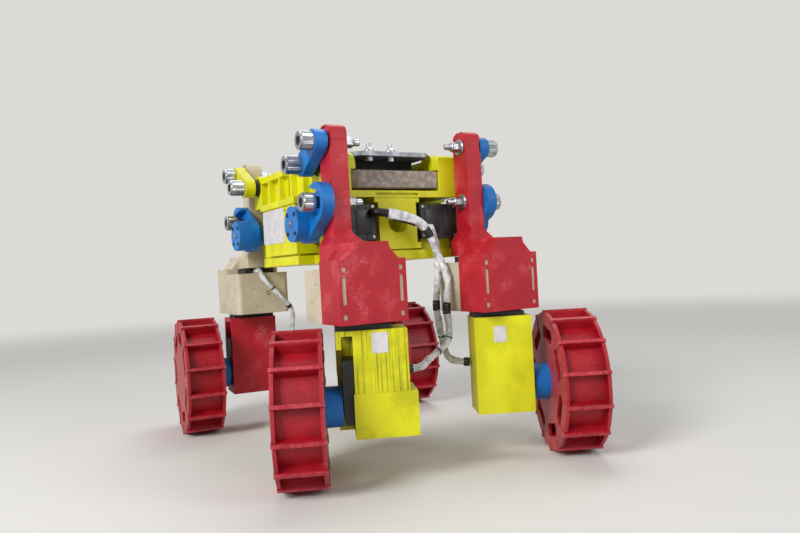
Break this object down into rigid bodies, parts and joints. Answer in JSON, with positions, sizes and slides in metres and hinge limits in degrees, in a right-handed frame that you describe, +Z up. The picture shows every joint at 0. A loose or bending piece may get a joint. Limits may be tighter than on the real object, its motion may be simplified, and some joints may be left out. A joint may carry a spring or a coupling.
{
  "type": "planetary rover prototype",
  "caption": "Small printed planetary rover prototype with lifting corner arms, steered wheel housings and grousered rolling wheels.",
  "frame": {"origin": "on the floor below the middle of the whole rover", "axes": "+X towards the front of the rover, +Y to its left side, +Z up"},
  "size_m": [0.326, 0.4477, 0.2937],
  "materials": {
    "yellow_print": "fluorescent yellow printed plastic, fine layer lines",
    "aluminium_plate": "satin aluminium",
    "steel_bolt": "bright zinc-plated steel",
    "grey_foam": "open-cell grey foam",
    "black_plastic": "black moulded servo plastic",
    "blue_print": "blue printed plastic",
    "red_print": "red printed plastic, sanded in patches",
    "cream_print": "off-white printed plastic",
    "white_cable": "white cable wrap"
  },
  "bodies": {
    "chassis": {"electronics_box": "yellow_print", "base_plate": "yellow_print", "deck": "yellow_print", "top_plate": "aluminium_plate", "plate_bolts": "steel_bolt", "foam_pad": "grey_foam", "battery_pack": "black_plastic", "right_column": "yellow_print", "left_column": "yellow_print", "pivot_bolts": "steel_bolt", "upper_arm_front_right": "blue_print", "lower_arm_front_right": "blue_print", "upright_front_right": "red_print", "steering_cover_front_right": "cream_print", "lift_servo_front_right": "black_plastic", "steering_servo_front_right": "black_plastic", "upper_arm_rear_right": "blue_print", "lower_arm_rear_right": "blue_print", "upright_rear_right": "red_print", "steering_cover_rear_right": "cream_print", "lift_servo_rear_right": "black_plastic", "steering_servo_rear_right": "black_plastic", "upper_arm_rear_left": "yellow_print", "lower_arm_rear_left": "blue_print", "upright_rear_left": "cream_print", "steering_cover_rear_left": "cream_print", "lift_servo_rear_left": "black_plastic", "steering_servo_rear_left": "black_plastic", "upper_arm_front_left": "yellow_print", "lower_arm_front_left": "blue_print", "upright_front_left": "cream_print", "steering_cover_front_left": "cream_print", "lift_servo_front_left": "black_plastic", "steering_servo_front_left": "black_plastic", "cable_front_right": "white_cable", "cable_rear_right": "white_cable", "cable_rear_left": "white_cable", "cable_front_left": "white_cable"},
    "steered_front_right": {"motor_housing_front_right": "yellow_print", "steering_horn_front_right": "black_plastic", "drive_servo_front_right": "black_plastic"},
    "rolling_front_right": {"hub_front_right": "blue_print", "wheel_front_right": "red_print"},
    "steered_rear_right": {"motor_housing_rear_right": "yellow_print", "steering_horn_rear_right": "black_plastic", "drive_servo_rear_right": "black_plastic"},
    "rolling_rear_right": {"hub_rear_right": "blue_print", "wheel_rear_right": "red_print"},
    "steered_rear_left": {"motor_housing_rear_left": "red_print", "steering_horn_rear_left": "black_plastic", "drive_servo_rear_left": "black_plastic"},
    "rolling_rear_left": {"hub_rear_left": "blue_print", "wheel_rear_left": "red_print"},
    "steered_front_left": {"motor_housing_front_left": "red_print", "steering_horn_front_left": "black_plastic", "drive_servo_front_left": "black_plastic"},
    "rolling_front_left": {"hub_front_left": "blue_print", "wheel_front_left": "red_print"}
  },
  "joints": [
    {"name": "steer_front_right", "type": "hinge", "parent": "chassis", "child": "steered_front_right", "pos_m": [0.06187, -0.13165, 0.1352], "axis": [0, 0, 1], "range_deg": [-63, 117], "deforming": ["cable_front_right"]},
    {"name": "roll_front_right", "type": "hinge", "parent": "steered_front_right", "child": "rolling_front_right", "pos_m": [0.11711, -0.15979, 0.063], "axis": [0.891, -0.454, 0], "continuous": true},
    {"name": "steer_rear_right", "type": "hinge", "parent": "chassis", "child": "steered_rear_right", "pos_m": [-0.07213, -0.13165, 0.1352], "axis": [0, 0, 1], "range_deg": [-66, 114], "deforming": ["cable_rear_right"]},
    {"name": "roll_rear_right", "type": "hinge", "parent": "steered_rear_right", "child": "rolling_rear_right", "pos_m": [-0.11964, -0.11049, 0.063], "axis": [-0.9135, 0.4067, 0], "continuous": true},
    {"name": "steer_rear_left", "type": "hinge", "parent": "chassis", "child": "steered_rear_left", "pos_m": [-0.07213, 0.15378, 0.1352], "axis": [0, 0, 1], "range_deg": [-84, 96], "deforming": ["cable_rear_left"]},
    {"name": "roll_rear_left", "type": "hinge", "parent": "steered_rear_left", "child": "rolling_rear_left", "pos_m": [-0.13379, 0.16026, 0.063], "axis": [-0.9945, 0.1045, 0], "continuous": true},
    {"name": "steer_front_left", "type": "hinge", "parent": "chassis", "child": "steered_front_left", "pos_m": [0.06187, 0.15378, 0.1352], "axis": [0, 0, 1], "range_deg": [-84, 96], "deforming": ["cable_front_left"]},
    {"name": "roll_front_left", "type": "hinge", "parent": "steered_front_left", "child": "rolling_front_left", "pos_m": [0.12353, 0.1473, 0.063], "axis": [0.9945, -0.1045, 0], "continuous": true}
  ]
}
